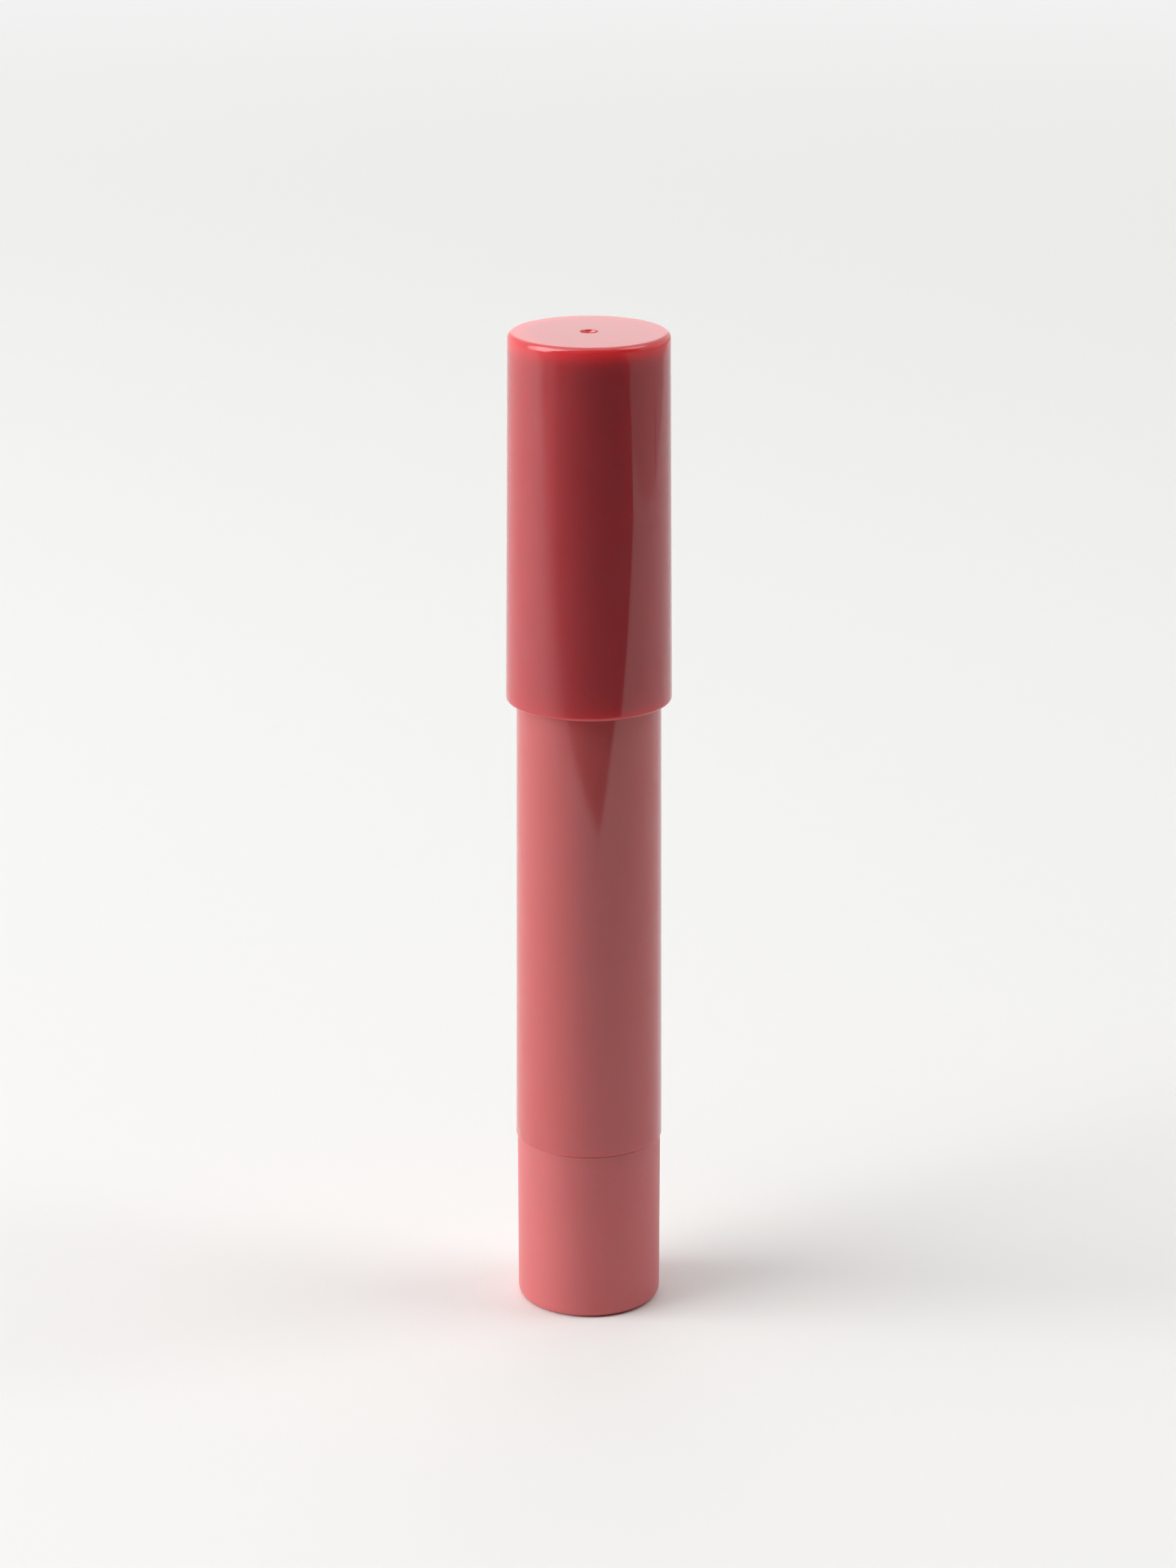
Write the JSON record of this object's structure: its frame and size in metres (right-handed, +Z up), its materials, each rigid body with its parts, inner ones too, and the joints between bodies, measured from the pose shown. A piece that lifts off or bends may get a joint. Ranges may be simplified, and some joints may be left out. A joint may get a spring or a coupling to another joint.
{
  "type": "twist-up lip color stick",
  "caption": "Capped twist-up lip color stick standing on its knob: turning the knob winds the colour out of the nozzle through a screw drive.",
  "frame": {"origin": "centre of the foot, on the surface that the stick stands on, on the axis that all its pieces share", "axes": "+Z up along the stick's axis, from the foot to the cap's top; +X towards the cap's moulding nub"},
  "size_m": [0.017, 0.017, 0.104],
  "materials": {
    "cap_plastic": "dusty rose polypropylene, moulded against a polished steel",
    "liner_plastic": "natural white polypropylene",
    "barrel_plastic": "dusty rose plastic with a satin gloss",
    "nozzle_plastic": "dusty rose plastic with a satin gloss",
    "knob_plastic": "dusty rose plastic with a soft matte skin",
    "mechanism_plastic": "natural white acetal",
    "ring_rubber": "black nitrile rubber",
    "lip_color": "rosewood wax, cast and smooth"
  },
  "bodies": {
    "barrel": {"barrel": "barrel_plastic", "nozzle": "nozzle_plastic", "guide_bush": "mechanism_plastic"},
    "knob": {"twist_base": "knob_plastic", "drive_sleeve": "mechanism_plastic", "drag_ring": "ring_rubber"},
    "carrier": {"screw_stem": "mechanism_plastic", "carrier_cup": "mechanism_plastic", "color_bullet": "lip_color"},
    "cap": {"cap": "cap_plastic", "cap_liner": "liner_plastic"}
  },
  "joints": [
    {"name": "base_twist", "type": "hinge", "parent": "barrel", "child": "knob", "pos_m": [0, 0, 0], "axis": [0, 0, 1], "range_deg": [0, 2250]},
    {"name": "carrier_slide", "type": "slide", "parent": "barrel", "child": "carrier", "axis": [0, 0, 1], "range_m": [0, 0.02501]},
    {"name": "cap_pull", "type": "slide", "parent": "barrel", "child": "cap", "axis": [0, 0, 1], "range_m": [0, 0.04]}
  ],
  "couplings": [
    {"joint": "carrier_slide", "follows": "base_twist", "m_per_rad": 0.00063662}
  ]
}
